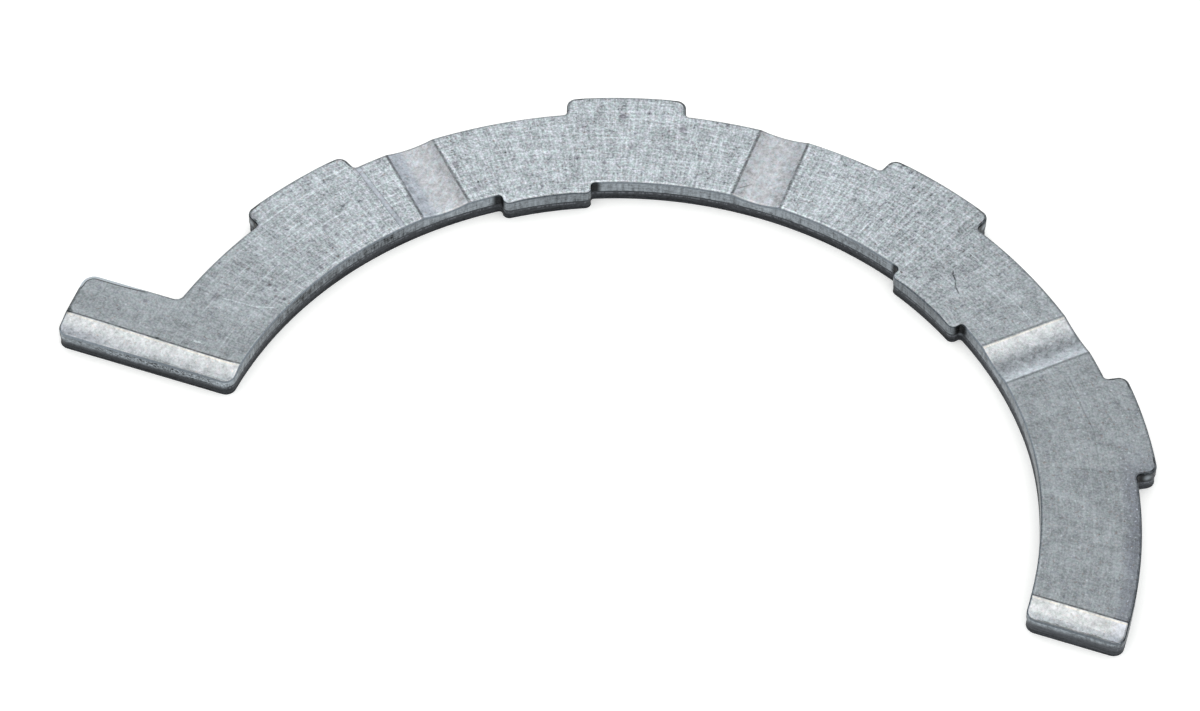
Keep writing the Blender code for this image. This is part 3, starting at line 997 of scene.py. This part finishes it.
def washerMetal():
    metal = bpy.data.materials.new("washer_metal_finish")
    metal.use_nodes = True
    desk = Desk(metal)
    shader = metal.node_tree.nodes["Principled BSDF"]
    shader.inputs["Metallic"].default_value = 1.0

    at = placesOn(desk)
    part = regionsOf(desk, at)
    face = brushedFace(desk, at)
    coin = coinedMetal(desk, at, part, face)
    cut = shearedEdge(desk, at, part, face)

    # the pressed parts lean towards the lamp or away from it, so they are written lighter
    lean = 1.05 + desk.ramp(part.between[0], -0.3, 0.8) * coin.first * 0.15
    lean = desk.fade(part.relieved, lean, 1.22)
    tone = desk.fade(part.coined, face.tone * 1.085, coin.tone * lean)
    lines = faceLines(desk, at, part, face, coin, cut, tone)
    tone, rolled = footEdges(desk, at, part, lines.tone, cut.rolled)
    tone, rolled = endEdges(desk, at, part, cut, lines.lip, tone, rolled)

    # roots of lugs and tabs lie in shade
    pocket = desk.ramp(desk.kept("rootNear"), 0.22, 0.66)
    side = desk.fade(part.torn, cut.sheared * (1 - pocket * 0.93), cut.ripped * (1 - pocket * 0.6))
    tone = desk.fade(part.top, rolled * 1.08 * (1 - pocket * 0.8), tone)
    tone = desk.fade(part.wall, tone, side)
    tone = desk.fade(part.torn * (1 - part.top), tone, cut.ripped)
    back = 0.34 + (face.mottle - 0.5) * 0.14 + (face.grain - 0.5) * 0.2 + (face.drawn - 0.5) * 0.12
    back = back - face.specks * 0.08
    tone = desk.fade(part.under, tone, back).most(0.012).least(0.95)

    steel = steelHue(desk, part, face, coin, lines)
    grey = desk.add("ShaderNodeCombineColor", None, {0: tone, 1: tone, 2: tone})
    desk.feed(shader, "Base Color", desk.blend(1.0, grey, steel, "MULTIPLY"))

    dull = 0.42 + (face.grain - 0.5) * 0.2 + (face.mottle - 0.5) * 0.1 - part.coined * 0.12
    dull = desk.fade(part.wall, dull, 0.38 + (cut.rough - 0.5) * 0.2 + part.torn * 0.25)
    desk.feed(shader, "Roughness", dull.most(0.15).least(0.9))

    relief = (face.crossing + face.following) * 0.006 + (face.grain - 0.5) * 0.008
    relief = (relief + (face.mottle - 0.5) * 0.03) * part.top
    relief = relief + ((cut.streak - 0.5) * 0.015 + (cut.rough - 0.5) * 0.055) * part.wall
    settings = {"Strength": 1.0, "Distance": 0.001, "Height": relief}
    desk.feed(shader, "Normal", desk.add("ShaderNodeBump", None, settings))
    return metal


washer.data.materials.clear()
washer.data.materials.append(washerMetal())
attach(washer, "root")
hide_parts("thrust_washer")

# white table
table = {
    "size": 3.0,
    "colour": (0.80, 0.80, 0.80, 1),
    "seen": (0.98, 0.965, 0.93, 1),  # by the camera and in the steel
    "glow": 0.27,  # brings the lit table up to white there
}


def whiteTable():
    bpy.ops.object.select_all(action="DESELECT")
    bpy.ops.mesh.primitive_plane_add(size=table["size"], location=(0, 0, 0))
    floor = bpy.context.object
    floor.name = "table_top"
    bpy.ops.object.transform_apply()
    paper = bpy.data.materials.new("table_paper")
    paper.use_nodes = True
    nodes, links = paper.node_tree.nodes, paper.node_tree.links
    nodes.clear()
    desk = Desk(paper)
    camera = desk.add("ShaderNodeLightPath")
    ray = (camera + camera.other("Is Glossy Ray") + camera.other("Is Transmission Ray")).least(1)
    soft = desk.add("ShaderNodeBsdfDiffuse", None, {"Color": desk.blend(ray, table["colour"], table["seen"])})
    glow = desk.add("ShaderNodeEmission", None, {"Color": (1, 1, 1, 1), "Strength": ray * table["glow"]})
    both = desk.add("ShaderNodeAddShader", None, {0: soft, 1: glow})
    out = nodes.new("ShaderNodeOutputMaterial")
    links.new(both.socket, out.inputs[0])
    floor.data.materials.append(paper)


whiteTable()

# the camera stands where the washer's own arcs put it
view = {
    "azimuth": 19.207,  # degrees to the right of straight in front
    "elevation": 51.115,
    "roll": 0.93,
    "aim": (-0.00337, -0.00930, 0.0025),
    "distance": 0.5335,
    "lens": 163.55,
    "sensor": 36.0,
}


def placeCamera():
    around, above = radians(view["azimuth"]), radians(view["elevation"])
    back = Vector((sin(around) * cos(above), -cos(around) * cos(above), sin(above)))
    right = (-back).cross(Vector((0, 0, 1))).normalized()
    up = right.cross(-back)
    tilt = Matrix.Rotation(radians(view["roll"]), 3, "Z")
    turn = Matrix((right, up, back)).transposed() @ tilt
    spot = Vector(view["aim"]) + back * view["distance"]
    bpy.ops.object.camera_add(location=spot, rotation=turn.to_euler())
    camera = bpy.context.object
    camera.data.lens = view["lens"]
    camera.data.sensor_width = view["sensor"]
    camera.data.sensor_fit = "HORIZONTAL"
    bpy.context.scene.camera = camera


placeCamera()

# one wide soft lamp straight over the table
softbox = {"height": 1.2, "width": 1.3, "depth": 1.0, "power": 1.2}


def overheadLamp():
    bpy.ops.object.light_add(type="AREA", location=(0, 0, softbox["height"]))
    lamp = bpy.context.object
    lamp.name = "overhead_softbox"
    lamp.data.shape = "RECTANGLE"
    lamp.data.size = softbox["width"]
    lamp.data.size_y = softbox["depth"]
    lamp.data.energy = softbox["power"]


overheadLamp()

# the room round the table: brightest overhead, a lighter band low behind, dimmer in front
air = {
    "fill": 1.0,
    "overhead": 0.08,
    "highFrom": 0.80,  # heights are of a direction's Z, from 0 level to 1 straight up
    "highFull": 0.95,
    "lowBehind": 0.30,
    "lowHeight": 0.27,
    "lowCore": 0.10,
    "lowEdge": 0.30,
    "front": -0.10,
    "cool": (0.93, 0.98, 1.03, 1),
    "warm": (1.02, 1.0, 0.97, 1),
}


def studioAir():
    room = bpy.data.worlds.new("studio_air")
    bpy.context.scene.world = room
    room.use_nodes = True
    desk = Desk(room)
    seen = desk.add("ShaderNodeTexCoord", output="Generated")
    toward = desk.add("ShaderNodeSeparateXYZ", None, {0: seen}, output="Z")
    behind = toward.other("Y")
    high = desk.ramp(toward, air["highFrom"], air["highFull"])
    low = 1 - desk.ramp(abs(toward - air["lowHeight"]), air["lowCore"], air["lowEdge"])
    low = low * desk.ramp(behind, 0.1, 0.6)
    ahead = desk.ramp(behind, -0.2, -0.7)
    level = air["fill"] + high * air["overhead"] + low * air["lowBehind"] + ahead * air["front"]
    shade = room.node_tree.nodes["Background"]
    desk.feed(shade, "Color", desk.blend(high, air["cool"], air["warm"]))
    desk.feed(shade, "Strength", level)


studioAir()
bpy.context.scene.view_settings.view_transform = "Standard"

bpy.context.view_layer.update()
say("finished")
